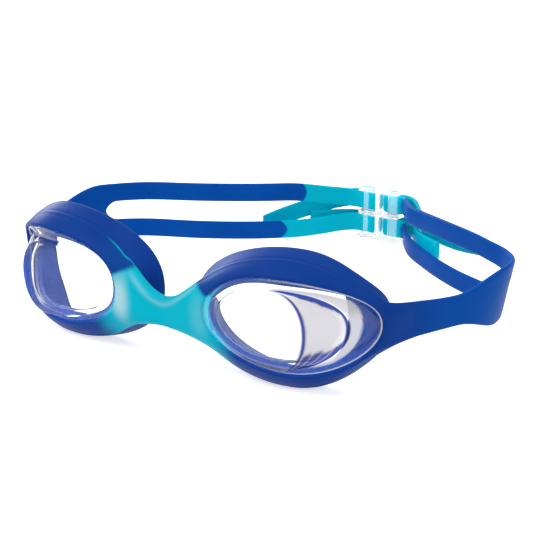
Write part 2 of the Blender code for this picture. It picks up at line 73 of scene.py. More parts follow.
CREASE_BACK = {"nasal": 0.0030, "temple": 0.0035, "top": 0.0045, "bottom": 0.0045}
REAR_OUT = {"nasal": 0.0084, "temple": 0.0022, "top": 0.0060, "bottom": 0.0062}
REAR_BACK = {"nasal": 0.0126, "temple": 0.0096, "top": 0.0116, "bottom": 0.0108}
SIDE_POWER = {"nasal": 2, "temple": 6}
SEAL_LIP = 0.0014
EYE_NASAL = 0.0255
EYE_TEMPLE = 0.0106
EYE_TOP = 0.0140
EYE_BOTTOM = 0.0150
EYE_BACK = {"nasal": 0.0092, "temple": 0.0150, "top": 0.0095, "bottom": 0.0100}
BRIDGE_HALF_HEIGHT = 0.0039
BRIDGE_THICKNESS = 0.0034
BRIDGE_DROP = 0.0039
BRIDGE_FRONT_Y = -0.0012

# Straps and buckle, as in the part's source, but for the left tails, which hang lower and reach further
ARM_ROOT_TOP = 0.0056
ARM_ROOT_BOTTOM = 0.0072
ARM_NECK_HALF = 0.0041
ARM_NECK_AT = 0.021
FLARE_LENGTH = 0.040
SPLIT_LENGTH = {"left": 0.050, "right": 0.044}
STRAND_WIDTH = 0.0058
STRAND_GAP = 0.0058
STRAND_THICKNESS = 0.0015
AQUA_LENGTH = {"left": 0.0035, "right": 0.0205}
SPLAY = {"left": 0.0012, "right": 0.0004}
DRAW_IN = {"left": 0.055, "right": 0.024}
LEAN = {"left": 0.18, "right": 0.0}
LEAN_AT = 0.043
LEAN_RUN = 0.018
MOUTH_RUN = 0.0018
TAIL_LENGTH = {"left_upper": 0.044, "left_lower": 0.0268, "right_upper": 0.031, "right_lower": 0.016}
TAIL_DROOP = {"left_upper": 0.0010, "left_lower": -0.0006, "right_upper": 0.0100, "right_lower": 0.0004}
TAIL_SAG = {"left_upper": 0.0024, "left_lower": 0.0, "right_upper": 0.0015, "right_lower": 0.0}
TAIL_SPREAD = {"left_upper": 0.0040, "left_lower": 0.0004, "right_upper": 0.0030, "right_lower": 0.0004}
ROUTE = {
    "left": [
        (0.0572, 0.0178), (0.0604, 0.0216), (0.0646, 0.0274), (0.0692, 0.0352), (0.0726, 0.0440),
        (0.0739, 0.0520), (0.0728, 0.0586), (0.0686, 0.0642), (0.0603, 0.0694), (0.0510, 0.0742),
        (0.0430, 0.0788), (0.0350, 0.0840), (0.0278, 0.0893), (0.0230, 0.0954),
    ],
    "right": [
        (-0.0572, 0.0178), (-0.0605, 0.0218), (-0.0645, 0.0280), (-0.0670, 0.0355), (-0.0672, 0.0430),
        (-0.0650, 0.0500), (-0.0612, 0.0558), (-0.0563, 0.0610), (-0.0500, 0.0654), (-0.0371, 0.0717),
        (-0.0238, 0.0800), (-0.0130, 0.0886), (-0.0052, 0.0948), (-0.0010, 0.0985),
    ],
}
ROUTE_STEPS = 16
BUCKLE_X = 0.0112
BUCKLE_Y = 0.1020
BUCKLE_LENGTH = 0.0134
RAIL = 0.0012
MIDDLE_RAIL = 0.0012
POST_THICKNESS = 0.0011
POST_LENGTH = 0.0020
POST_INSET = 0.0018
CENTRE_POST = 0.0014
FRONT_BAR = 0.0012
FRONT_BAR_AT = -0.0042
FRONT_BAR_DEPTH = 0.0008
END_PLATE = 0.0030
GAP = 0.0003
BAND_HALF = STRAND_WIDTH + STRAND_GAP / 2
STRAND_MIDDLE = (STRAND_WIDTH + STRAND_GAP) / 2
ROW_MIDDLE = MIDDLE_RAIL / 2 + GAP + STRAND_WIDTH / 2
BUCKLE_HALF_HEIGHT = ROW_MIDDLE + STRAND_WIDTH / 2 + GAP + RAIL
LEG_OFFSET = POST_THICKNESS / 2 + GAP + STRAND_THICKNESS / 2
LEG_FACE = LEG_OFFSET + STRAND_THICKNESS / 2
BUCKLE_FRONT = LEG_FACE + GAP + FRONT_BAR_DEPTH
BUCKLE_BACK = LEG_FACE + GAP
POST_MIDDLE = BUCKLE_LENGTH / 2 - POST_INSET - POST_LENGTH / 2
LEG_Y = BUCKLE_Y - LEG_OFFSET

# Moulding cage: angles where the arm and the bridge leave the eyecup, and points on each stretch
ARM_LOW = math.radians(-46)
ARM_HIGH = math.radians(30)
NOSE_HIGH = math.radians(145)
NOSE_LOW = math.radians(230)
ARM_EDGE = 4
NOSE_EDGE = 5
ARC_POINTS = 16
ARM_START = 0.009
STRAP_STEP = 0.0016
# Columns of the band from its bottom edge to its top edge, as shares of a strand, with one more in the gap
STRAND_SHARES = (0.0, 0.09, 0.5, 0.91, 1.0)
GAP_COLUMN = len(STRAND_SHARES)
LAST_COLUMN = 2 * GAP_COLUMN
BAND_COLUMNS = LAST_COLUMN + 1
GAP_EDGES = (GAP_COLUMN - 1, GAP_COLUMN + 1)
EDGE_THICKNESS = 0.5
CELL_SHARES = (-1.0, -0.8, -0.4, 0.0, 0.4, 0.8, 1.0)
END_HOLD = (0.00001, 0.0001)
# How far the gap's mouth is moved along the band at its lower edge, middle and upper edge, and its reach
CROTCH = {"left": (0.0060, 0.0024, -0.0012), "right": (-0.0006, -0.0038, -0.0006)}
CROTCH_REACH = {"left": 0.009, "right": 0.006}
FOOT_SOFT = 0.0006

# Where the eyecup is fuller next to the bridge, and where its rear edge is drawn in to stay inside the arm
FULLER_OUT = 0.0016
FULLER_AT = math.radians(234)
FULLER_REACH = 0.60
DRAWN_IN = 0.0027
DRAWN_FORWARD = 0.0038
DRAWN_AT = -0.1
DRAWN_REACH_ABOVE = 0.60
DRAWN_REACH_BELOW = 0.42

# Rings of the eyecup: steps out and back from the crease, flange line or rear edge, and shares of a span
CREASE_FRONT = (-0.0002, -0.0004)
CREASE_BEHIND = (-0.0001, 0.0005)
LENS_SEAT = LENS_WALL + 0.0001
LIP_ROWS = ((0.0001, LENS_SEAT), (0.0001, 0.0005), (0.0002, -0.0001), (0.0006, -0.0003), (0.0011, -0.0001))
FACE_ROWS = ((0.14, 0.0001), (0.42, 0.0003), (0.70, 0.0002), (0.88, -0.0002))
SKIRT_START = 0.22
SKIRT_MIDDLE = 0.55
REAR_ROUND = (-0.0004, -0.0004)
SEAL_HOLLOW = 0.0010

# Edges of the arm's root, and of the bridge with the two inner points of its top and bottom curves
ARM_CHIN = 0.0007
ARM_CHIN_AT = 0.010
ARM_CHIN_REACH = 0.010
ARM_TURN = 0.12
ARM_NEXT = 0.004
ARM_PULL_LOW = 0.0042
ARM_PULL_HIGH = 0.0032
ARM_PULL_END = 0.0052
BRIDGE_FRONT_ROUND = 0.0005
BRIDGE_BEAD = 0.0003
BRIDGE_REAR_ROUND = 0.0006
BRIDGE_TOP_CURVE = ((0.0096, 0.0002, 0.0068), (0.0046, 0.0002))
BRIDGE_BOTTOM_CURVE = ((0.0130, 0.0010, -0.0102), (0.0050, -0.0001))

# Strap ends, lens and buckle
END_STEP = 0.001
FOLD_STEPS = 12
TAIL_ROWS = 30
TAIL_FADE_ROWS = 6
TAIL_HOLD = (0.0004, 0.0001)
LENS_COUNT = 128
LENS_ROUND = 0.0002
LENS_HOLD = 0.0006
LENS_CROWN = 0.00005
FLANGE_GLINT = 0.0005
SHOULDER_IN = 0.35
SHOULDER_BACK = 0.12
BUCKLE_SOFT = 0.00038

# Rows of the lens's walls, as shares from the flange to the window outside and back to the flange inside,
# which carry the lens's painted reflections, highlights and shade.
# A row of painted blue streaks also has their depth and the angle in degrees below which they show
INNER_ARC = (0.60, 0.64)
SHEEN_ROWS = (0.0, 0.03, 0.06, 0.09, 0.12, 0.15, 0.18, 0.21, 0.24, 0.30, 0.33)
ARC_START = 0.345
ARC_LINE = (0.36, 0.40)
STREAK_ROWS = (
    (0.415, 1.0, -12), (0.46, 1.0, -15), (0.49, 0.86, -18), (0.52, 1.0, -21),
    (0.60, 1.0, -24), (0.64, 0.90, -22), (0.67, 1.0, -20), (0.76, 1.0, -22),
    (0.80, 0.88, -25), (0.83, 1.0, -22), (0.90, 1.0, -23), (0.935, 0.95, -25),
)
BEND_GLINT = 0.95
BEND_LINE = (0.965, 1.0)
# Spans of angles in degrees, as first, last and fade, and how the painted marks' edges run with the angle:
# painted shade high on the wall, a painted blue band along the arc, and a lamp's painted sheen
UPPER_SPAN = (8, 104, 20)
UPPER_PAINTED_SHADE = 0.5
BAND_SPAN = (12, 100, 10)
BAND_AT = 15
BAND_WIDENING = 0.0075
BAND_BLUR = 0.05
STREAK_LAST = -125
STREAK_FADE = 7
SHEEN_SPAN = (-78, 104, 16)
SHEEN_EDGE = 0.18
SHEEN_AT = -7
SHEEN_HALF = 44
SHEEN_BLUR = 0.03
# Strength of the painted marks on each lens
PAINTED_MARK_STRENGTH = {"left": 1.0, "right": 0.4}

# Colour layers of the moulding, in millimetres from the datum: the aqua shot, and the bridge's painted
# highlights
AQUA_TOP = 4.2
AQUA_TOP_AT = 15.7
AQUA_TOP_SLOPE = 0.45
AQUA_TOP_BLUR = 1.6
AQUA_END = 19.5
AQUA_END_BLUR = 9.0
AQUA_FACE = 1.6
AQUA_FACE_START = 0.3
CREASE_FACE = 0.7
CREASE_FACE_REACH = 0.16
CREASE_END = 20.8
CREASE_END_FADE = 4.0
CREASE_FOOT = 1.0
CREASE_FOOT_FADE = 2.0
CREASE_STRENGTH = 0.8
STRAND_BEHIND = 60
STRAND_TONGUE = 5.6
STRAND_TONGUE_BOW = 2.2
STRAP_BLUE_FROM = 14
STRAP_BLUE_RUN = 26
# Painted highlight in a line just under the bridge's top edge
BEAD_BELOW = 1.4
BEAD_REACH = 0.7
BEAD_END = 12.0
BEAD_FADE = 3.0
BEAD_HIGHLIGHT_STRENGTH = 0.22
BEAD_STEPS = 40
# Painted highlight in a patch on the bridge beside each lens, stronger on the right
PATCH_X = 13.0
PATCH_Z = -2.0
PATCH_HALF_WIDTH = 3.6
PATCH_HALF_HEIGHT = 8.0
PATCH_EDGE = 1.2
PATCH_HIGHLIGHT_STRENGTH = {"left": 0.12, "right": 0.7}
# Colour layers of the strap ends, in millimetres past the seam between blue and aqua
TONGUE = {"left_upper": 0.4, "left_lower": 0.4, "right_upper": 1.4, "right_lower": -3.0}
TONGUE_BOW = 1.2
TONGUE_BLUR = {"left": 2.5, "right": 0.5}
TONGUE_DEPTH = 1.2
# Painted light on each tail: how far its aqua is brightened towards a lit cyan
TAIL_PAINTED_LIGHT = {"left_upper": 0.5, "left_lower": 0.9, "right_upper": 0.1, "right_lower": 0.1}

# Materials: pairs are the two ends of a noise
CUP_BLUE = ((0.004, 0.046, 0.280), (0.007, 0.056, 0.320))
STRAP_BLUE = ((0.001, 0.078, 0.400), (0.002, 0.090, 0.440))
AQUA = ((0.0, 0.490, 0.630), (0.0, 0.530, 0.690))
# Bright cyan of the painted light on the tails
PAINTED_LIGHT_AQUA = (0.0, 0.82, 1.0)
# Pale aqua of the painted highlights on the bridge
PAINTED_HIGHLIGHT_AQUA = (0.62, 0.86, 0.90)
WHITE = (1.0, 1.0, 1.0)
# Painted reflections and shade on the lens walls: a grey, and dark-blue lines and streaks
LENS_PAINTED_REFLECTIONS = (("wall", (0.475, 0.465, 0.48)), ("line", (0.0006, 0.003, 0.085)))
BUCKLE_HAZE = 0.16
# Transmission under full frost: the buckle's real frost, and the painted highlights on the lens
FROST_AND_GLINT_TRANSMISSION = 0.2
NOISE_SPAN = (0.3, 0.7)

# Stage: floor, surround, and lamps with their place and target from the datum, size, energy and gloss
FLOOR_HALF = 6.0
FLOOR_DROP = 0.0002
FLOOR_TONE = ((0.90, 0.90, 0.91), (0.93, 0.93, 0.94))
FLOOR_LIFT = 0.66
SURROUND_LIGHT = 0.34
LAMPS = (
    ("key", (-0.25, -0.35, 0.55), (0.0, 0.03, 0.0), (0.35, 0.35), 1.9, True),
    ("fill", (0.55, -0.30, 0.35), (0.0, 0.03, 0.0), (0.40, 0.40), 1.2, False),
    ("top", (0.05, 0.25, 0.60), (0.0, 0.05, 0.0), (0.40, 0.40), 1.2, False),
    ("rim", (-0.60, 0.28, 0.20), (-0.02, 0.01, 0.0), (0.35, 0.25), 2.0, True),
)

# Camera, fitted to the photograph: offset from the datum, and angles in degrees
CAMERA_OFFSET = (0.22955, -0.31372, 0.14184)
CAMERA_AZIMUTH = 32.149
CAMERA_ELEVATION = 18.888
CAMERA_ROLL = 0.517
CAMERA_LENS = 104.7

left_low, left_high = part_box("left_lens")
right_low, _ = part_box("right_lens")
WINDOW_FRONT = -WINDOW_Y - LENS_LEAN * (WINDOW_TOP - WINDOW_EDGE)
DATUM = Vector(((right_low.x + left_high.x) / 2, left_low.y + WINDOW_FRONT, left_high.z - LENS_TOP))
SIDES = (("left", 1), ("right", -1))


def around(angle, sizes):
    """Blend four sizes around the lens: temple at 0, top at a quarter turn, then nasal and bottom."""
    side = "temple" if math.cos(angle) > 0 else "nasal"
    height = "top" if math.sin(angle) > 0 else "bottom"
    share = abs(math.sin(angle)) ** SIDE_POWER[side]
    return sizes[side] + (sizes[height] - sizes[side]) * share


def rounded(value):
    """A cosine or sine pushed slightly towards a square."""
    return math.copysign(abs(value) ** OUTLINE_POWER, value)


def rim_y(angle):
    """Depth of the flange line at an angle."""
    share = rounded(math.cos(angle))
    if share < 0:
        share *= LENS_NASAL / LENS_TEMPLE
    return RIM_SETBACK * sum(k * share ** (n + 1) for n, k in enumerate(RIM_CURVE))


def oval(angle, nasal, temple, top, bottom):
    """A point of a four-quarter oval about the lens centre."""
    c = rounded(math.cos(angle))
    s = rounded(math.sin(angle))
    return c * (temple if c > 0 else nasal), s * (top if s > 0 else bottom)


def rim_point(side, angle, out, back):
    """A point outside the flange line by out and behind it by back."""
    dx, z = oval(angle, LENS_NASAL, LENS_TEMPLE, LENS_TOP, LENS_BOTTOM)
    grow = 1 + out / math.hypot(dx, z)
    z *= grow
    return Vector((side * (LENS_CENTRE_X + dx * grow), rim_y(angle) + back + LENS_LEAN * z, z))


def eye_point(side, angle, back):
    """A point of the eye opening in the face seal."""
    dx, z = oval(angle, EYE_NASAL, EYE_TEMPLE, EYE_TOP, EYE_BOTTOM)
    return Vector((side * (LENS_CENTRE_X + dx), around(angle, EYE_BACK) + back + LENS_LEAN * z, z))


def window_point(side, angle, inset, back):
    """A point of the flat window, inset from its edge and set back."""
    edge = Vector(oval(angle, WINDOW_NASAL, WINDOW_TEMPLE, WINDOW_TOP, WINDOW_BOTTOM))
    dx, z = edge - edge.normalized() * inset
    return Vector((side * (LENS_CENTRE_X + dx), WINDOW_Y + back + LENS_LEAN * z, z))


def ease(values):
    """Ease a value or an array from 0 to 1."""
    t = np.clip(values, 0, 1)
    return t * t * (3 - 2 * t)


class Line:
    """A plan line that gives points and directions at running lengths."""

    def __init__(self, points):
        self.points = points
        self.total = [0.0]
        for a, b in zip(points, points[1:]):
            self.total.append(self.total[-1] + (b - a).length)
        self.length = self.total[-1]

    def at(self, distance):
        """Point at a running length."""
        for a, b, start, end in zip(self.points, self.points[1:], self.total, self.total[1:]):
            if distance <= end and start < end:
                return a.lerp(b, (distance - start) / (end - start))
        return self.points[-1].copy()

    def along(self, distance, reach=0.0012):
        """Direction at a running length."""
        ahead = self.at(min(self.length, distance + reach))
        return (ahead - self.at(max(0.0, distance - reach))).normalized()


def strap_line(name, sign):
    """The strap's middle line in plan, up to the buckle's leg plane."""
    mouth = BUCKLE_X + sign * BUCKLE_LENGTH / 2
    plan = ROUTE[name] + [(mouth + sign * MOUTH_RUN, LEG_Y), (mouth, LEG_Y)]
    line = [Vector((*p, 0.0)) for p in plan]
    line = [line[0] * 2 - line[1]] + line + [line[-1] * 2 - line[-2]]
    dense = []
    for a, b, c, d in zip(line, line[1:], line[2:], line[3:]):
        for i in range(ROUTE_STEPS):
            t = i / ROUTE_STEPS
            dense.append(0.5 * ((2 * b) + (c - a) * t + (2 * a - 5 * b + 4 * c - d) * t * t
                                + (3 * b - a - 3 * c + d) * t ** 3))
    dense.append(line[-2].copy())
    return Line(dense)


LINES = {name: strap_line(name, sign) for name, sign in SIDES}
BLUE_END = {name: LINES[name].length - AQUA_LENGTH[name] for name, _ in SIDES}


def arm_half(distance, root):
    """Half height of the band: a neck, then a flare to full width."""
    if distance < ARM_NECK_AT:
        return ARM_NECK_HALF + (root - ARM_NECK_HALF) * (1 - distance / ARM_NECK_AT) ** 3
    flare = (distance - ARM_NECK_AT) / (FLARE_LENGTH - ARM_NECK_AT)
    return ARM_NECK_HALF + (BAND_HALF - ARM_NECK_HALF) * ease(flare)


def strand_height(distance, name):
    """Middle height of the upper strand: bowed out a little, then drawn in to the buckle's row."""
    total = LINES[name].length
    draw_in = ease((distance - (total - DRAW_IN[name])) / DRAW_IN[name])
    share = (distance - SPLIT_LENGTH[name]) / (total - SPLIT_LENGTH[name])
    return STRAND_MIDDLE + (ROW_MIDDLE - STRAND_MIDDLE) * draw_in + 4 * SPLAY[name] * share * (1 - share)


def lean_at(distance, name):
    """Slope of the band where it wraps the bend."""
    share = min(1.0, abs(distance - LEAN_AT) / LEAN_RUN)
    return LEAN[name] * (1 - share * share) ** 2


def band_heights(distance, name):
    """Heights across the band, one for each column, from its bottom edge to its top edge."""
    if distance < SPLIT_LENGTH[name]:
        top = arm_half(distance, ARM_ROOT_TOP)
        chin = ARM_CHIN * math.exp(-((distance - ARM_CHIN_AT) / ARM_CHIN_REACH) ** 2)
        bottom = -arm_half(distance, ARM_ROOT_BOTTOM) - chin
        inner = STRAND_GAP / 2 * top / BAND_HALF
        spans = ((bottom, -inner), (inner, top))
    else:
        middle = strand_height(distance, name)
        half = STRAND_WIDTH / 2
        spans = ((-middle - half, -middle + half), (middle - half, middle + half))
    low, high = ([start + (end - start) * s for s in STRAND_SHARES] for start, end in spans)
    return low + [(low[-1] + high[0]) / 2] + high


def outward_at(line, distance, sign):
    """Direction away from the head at a running length."""
    along = line.along(distance)
    return Vector((along.y, -along.x, 0.0)) * sign


def band_row(distance, name, sign):
    """Outer and inner points across the band at a running length."""
    line = LINES[name]
    split = distance >= SPLIT_LENGTH[name]
    fade = math.exp(-((distance - SPLIT_LENGTH[name]) / CROTCH_REACH[name]) ** 2)
    outer = []
    inner = []
    for j in range(BAND_COLUMNS):
        place = distance + CROTCH[name][1 + (j > GAP_COLUMN) - (j < GAP_COLUMN)] * fade
        outward = outward_at(line, place, sign)
        rise = Vector((0, 0, 1)) + outward * lean_at(place, name)
        edge = j in (0, LAST_COLUMN) or (split and j in GAP_EDGES)
        half = STRAND_THICKNESS / 2 * (EDGE_THICKNESS if edge else 1.0)
        middle = line.at(place) + rise * band_heights(place, name)[j]
        outer.append(middle + outward * half)
        inner.append(middle - outward * half)
    return outer, inner


def bezier(points, t):
    """A cubic Bezier curve."""
    a, b, c, d = points
    u = 1 - t
    return a * u ** 3 + b * (3 * u * u * t) + c * (3 * u * t * t) + d * t ** 3


def spread(low, high, count):
    """Evenly spaced values strictly between two ends."""
    return [low + (high - low) * (i + 1) / (count + 1) for i in range(count)]


def ring_angles():
    """The cage's angles: arm window, top arc, nose window, bottom arc."""
    arm = spread(ARM_LOW, ARM_HIGH, 2 * ARM_EDGE + BAND_COLUMNS)
    top = [ARM_HIGH] + spread(ARM_HIGH, NOSE_HIGH, ARC_POINTS) + [NOSE_HIGH]
    nose = spread(NOSE_HIGH, NOSE_LOW, 2 * NOSE_EDGE + len(CELL_SHARES))
    last = 2 * math.pi + ARM_LOW
    bottom = [NOSE_LOW] + spread(NOSE_LOW, last, ARC_POINTS) + [last]
    return arm, top, nose, bottom


def a_turn(angle):
    """An angle brought between half a turn back and half a turn on."""
    return (angle + math.pi) % (2 * math.pi) - math.pi


def near_angle(angle, middle, reach):
    """1 at an angle, falling to 0 on both sides of it."""
    return math.exp(-(a_turn(angle - middle) / reach) ** 2)


def drawn_in(angle):
    """How strongly the rear edge is drawn in, to stay inside the arm."""
    reach = DRAWN_REACH_ABOVE if a_turn(angle) > DRAWN_AT else DRAWN_REACH_BELOW
    return near_angle(angle, DRAWN_AT, reach)


def fuller(angle):
    """How much fuller the eyecup is where its lower edge runs into the bridge."""
    return FULLER_OUT * near_angle(angle, FULLER_AT, FULLER_REACH)


def crease_point(side, angle, out=0.0, back=0.0):
    """A point of the crease between the eyecup's face and its skirt, moved out and back."""
    return rim_point(side, angle, around(angle, CREASE_OUT) + fuller(angle) + out,
                     around(angle, CREASE_BACK) + back)


def rear_point(side, angle, out=0.0, back=0.0):
    """A point of the eyecup's rear edge, moved out and back."""
    drawn = drawn_in(angle)
    return rim_point(side, angle, around(angle, REAR_OUT) + fuller(angle) + out - DRAWN_IN * drawn,
                     around(angle, REAR_BACK) + back - DRAWN_FORWARD * drawn)


def arm_edge_line(side, name, angle, column, low):
    """Curve from the crease to a corner of the arm's first row, on the outer face."""
    start = crease_point(side, angle, *CREASE_FRONT)
    outer, _ = band_row(ARM_START, name, side)
    following, _ = band_row(ARM_START + ARM_NEXT, name, side)
    end = outer[column]
    tangent = (end - following[column]).normalized()
    crease = crease_point(side, angle + (ARM_TURN if low else -ARM_TURN), *CREASE_FRONT) - start
    pull = ARM_PULL_LOW if low else ARM_PULL_HIGH
    return start, start + crease.normalized() * pull, end + tangent * ARM_PULL_END, end


def bridge_section(front):
    """The points of the bridge's front or rear at the middle plane, from its top to its bottom."""
    points = []
    for share in reversed(CELL_SHARES):
        z = BRIDGE_HALF_HEIGHT * share - BRIDGE_DROP
        edge = abs(share) ** 4
        if front:
            y = BRIDGE_FRONT_Y + BRIDGE_FRONT_ROUND * edge - BRIDGE_BEAD * max(0.0, share) ** 8
        else:
            y = BRIDGE_FRONT_Y + BRIDGE_THICKNESS - BRIDGE_REAR_ROUND * edge
        points.append(Vector((0.0, y, z)))
    return points


def bridge_edge_line(side, angle, corner, top):
    """Curve from the crease to a corner of the bridge's middle section."""
    start = crease_point(side, angle, *CREASE_FRONT)
    (x, y, z), (end_x, lift) = BRIDGE_TOP_CURVE if top else BRIDGE_BOTTOM_CURVE
    return start, Vector((side * x, y, z)), Vector((side * end_x, corner.y, corner.z + lift)), corner


def lay_edge(front, behind, places, line, first_shift, last_shift, pace):
    """Lay an edge of both rings along a curve, with the rear ring's shift changing on the way."""
    for i, k in enumerate(places):
        t = (i + 1) / (len(places) + 1)
        front[k] = bezier(line, t)
        behind[k] = front[k] + first_shift.lerp(last_shift, pace(t))


def lay_arm(front, behind, name, side, count):
    """Lead both rings to the arm's first row, over the points where the arm leaves."""
    outer, inner = band_row(ARM_START, name, side)
    high_places = range(count - 1, count - 1 - ARM_EDGE, -1)
    for angle, column, places in ((ARM_LOW, 0, range(ARM_EDGE)), (ARM_HIGH, LAST_COLUMN, high_places)):
        line = arm_edge_line(side, name, angle, column, column == 0)
        shift = crease_point(side, angle, *CREASE_BEHIND) - line[0]
        lay_edge(front, behind, places, line, shift, inner[column] - outer[column], lambda t: t)
    front[ARM_EDGE:ARM_EDGE + BAND_COLUMNS] = outer
    behind[ARM_EDGE:ARM_EDGE + BAND_COLUMNS] = inner


def lay_nose(front, behind, side, start, count):
    """Lead both rings to the bridge's middle section, over the points where the bridge leaves."""
    face = bridge_section(True)
    rear = bridge_section(False)
    last = start + count - 1
    high_places = range(start, start + NOSE_EDGE)
    low_places = range(last, last - NOSE_EDGE, -1)
    for angle, corner, places in ((NOSE_HIGH, 0, high_places), (NOSE_LOW, -1, low_places)):
        line = bridge_edge_line(side, angle, face[corner], corner == 0)
        shift = crease_point(side, angle, *CREASE_BEHIND) - line[0]
        lay_edge(front, behind, places, line, shift, rear[corner] - face[corner], ease)
    first = start + NOSE_EDGE
    front[first:first + len(face)] = face
    behind[first:first + len(rear)] = rear


def moulding_rings(name, side):
    """All rings of one eyecup, and the spans of ring indices where the arm and the bridge leave."""
    arm, top, nose, bottom = ring_angles()
    angles = arm + top + nose + bottom
    nose_start = len(arm) + len(top)
    front = [crease_point(side, a, *CREASE_FRONT) for a in angles]
    behind = [crease_point(side, a, *CREASE_BEHIND) for a in angles]
    lay_arm(front, behind, name, side, len(arm))
    lay_nose(front, behind, side, nose_start, len(nose))
    rings = [[rim_point(side, a, out, back) for a in angles] for out, back in LIP_ROWS]
    lip = rings[-1]
    for share, rise in FACE_ROWS:
        rings.append([a.lerp(b, share) - Vector((0, rise, 0)) for a, b in zip(lip, front)])
    nose_first = nose_start + NOSE_EDGE
    index = {
        "front": len(rings),
        "arm": (ARM_EDGE, ARM_EDGE + LAST_COLUMN),
        "nose": (nose_first, nose_first + len(CELL_SHARES) - 1),
    }
    edge = [rear_point(side, a, 0.0, -SEAL_LIP) for a in angles]
    skirt = [crease_point(side, a).lerp(b, SKIRT_START) for a, b in zip(angles, edge)]
    rear_edge = [rear_point(side, a, -SEAL_LIP, 0.0) for a in angles]
    eye = [eye_point(side, a, 0.0) for a in angles]
    rings += [
        front,
        behind,
        [a.lerp(b, 0.5) for a, b in zip(behind, skirt)],
        skirt,
        [a.lerp(b, SKIRT_MIDDLE) for a, b in zip(skirt, edge)],
        edge,
        [rear_point(side, a, *REAR_ROUND) for a in angles],
        rear_edge,
        [a.lerp(b, 0.5) - Vector((0, SEAL_HOLLOW, 0)) for a, b in zip(rear_edge, eye)],
        eye,
        [eye_point(side, a, -SEAL_LIP) for a in angles],
        [rim_point(side, a, -FLANGE_WIDTH, LENS_SEAT + SEAL_LIP) for a in angles],
        [rim_point(side, a, -FLANGE_WIDTH, LENS_SEAT) for a in angles],
    ]
    return rings, index


def face_share(ring, k, index):
    """1 on the front face and on the bridge, 0 on the skirt behind the crease."""
    beyond = ring - index["front"]
    first, last = index["nose"]
    inside = first - NOSE_EDGE <= k <= last + NOSE_EDGE
    section = first <= k <= last
    if beyond <= 0:
        return 1.0
    if beyond == 1:
        return 1.0 if inside else 0.5
    if beyond == 2:
        return 0.9 if section else 0.2 * inside
    return 0.0


def join_loops(work, one, two, skip=()):
    """Faces between two closed rows of points."""
    for k in range(len(one)):
        n = (k + 1) % len(one)
        if k not in skip:
            work.faces.new((one[k], one[n], two[n], two[k]))


def add_band(work, name, side, outer, inner):
    """The arm and its two strands, row by row from the arm's first row."""
    end = BLUE_END[name]
    split = SPLIT_LENGTH[name]
    stops = [ARM_START + STRAP_STEP * (i + 1) for i in range(int((end - ARM_START) / STRAP_STEP))]
    stops = [s for s in stops if abs(s - split) > STRAP_STEP / 2 and s < end - STRAP_STEP / 2]
    stops = sorted(stops + [split, end] + [end - step for step in END_HOLD])
    beside_gap = (GAP_COLUMN - 1, GAP_COLUMN)
    previous = ARM_START
    for distance in stops:
        gap = previous >= split
        new_outer, new_inner = (
            [None if gap and j == GAP_COLUMN else work.verts.new(point) for j, point in enumerate(row)]
            for row in band_row(distance, name, side))
        for j in range(LAST_COLUMN):
            if gap and j in beside_gap:
                continue
            work.faces.new((outer[j], outer[j + 1], new_outer[j + 1], new_outer[j]))
            work.faces.new((inner[j + 1], inner[j], new_inner[j], new_inner[j + 1]))
        for j in (0, *GAP_EDGES, LAST_COLUMN) if gap else (0, LAST_COLUMN):
            work.faces.new((outer[j], new_outer[j], new_inner[j], inner[j]))
        if previous == split:
            for j in beside_gap:
                work.faces.new((outer[j], outer[j + 1], inner[j + 1], inner[j]))
        outer, inner = new_outer, new_inner
        previous = distance
    for j in range(LAST_COLUMN):
        if j not in beside_gap:
            work.faces.new((outer[j], outer[j + 1], inner[j + 1], inner[j]))


def add_moulding(work, name, side, middle):
    """One eyecup with its half of the bridge, its arm and its strands. Both halves share the middle."""
    rings, index = moulding_rings(name, side)
    front = index["front"]
    arm_first, arm_last = index["arm"]
    nose_first, nose_last = index["nose"]
    layer = work.verts.layers.float.get("face") or work.verts.layers.float.new("face")
    verts = []
    for r, ring in enumerate(rings):
        row = []
        for k, point in enumerate(ring):
            if r in (front, front + 1) and nose_first <= k <= nose_last:
                if (r, k) not in middle:
                    middle[r, k] = work.verts.new(point)
                row.append(middle[r, k])
            else:
                row.append(work.verts.new(point))
            row[-1][layer] = face_share(r, k, index)
        verts.append(row)
    openings = (*range(arm_first, arm_last), *range(nose_first, nose_last))
    for r, one in enumerate(verts):
        join_loops(work, one, verts[(r + 1) % len(verts)], openings if r == front else ())
    outer, inner = (verts[r][arm_first:arm_last + 1] for r in (front, front + 1))
    add_band(work, name, side, outer, inner)


def add_object(name, data):
    """A new object in the scene."""
    made = bpy.data.objects.new(name, data)
    bpy.context.scene.collection.objects.link(made)
    return made


def add_mesh(name, work):
    """A new object in the scene with the worked mesh."""
    mesh = bpy.data.meshes.new(name)
    work.to_mesh(mesh)
    work.free()
    return add_object(name, mesh)


def evaluated(item):
    """An object's mesh with its modifiers applied."""
    bpy.context.view_layer.update()
    return bpy.data.meshes.new_from_object(item.evaluated_get(bpy.context.evaluated_depsgraph_get()))


def finished(name, work, levels):
    """Turn a cage into a smooth mesh object in the row frame."""
    bmesh.ops.recalc_face_normals(work, faces=work.faces)
    made = add_mesh(name, work)
    cage = made.data
    soft = made.modifiers.new("rounding", "SUBSURF")
    soft.levels = levels
    soft.render_levels = levels
    cage.transform(Matrix.Translation(DATUM))
    made.data = evaluated(made)
    made.modifiers.clear()
    made.data.name = name
    made.data.shade_smooth()
    bpy.data.meshes.remove(cage)
    return made


def paint(item, name, weights):
    """Store a share from 0 to 1 at each point."""
    layer = item.data.attributes.new(name, "FLOAT", "POINT")
    layer.data.foreach_set("value", np.clip(weights, 0, 1).astype(np.float32))


def layer_of(item, name):
    """A point layer's shares."""
    shares = np.zeros(len(item.data.vertices), np.float32)
    item.data.attributes[name].data.foreach_get("value", shares)
    return shares


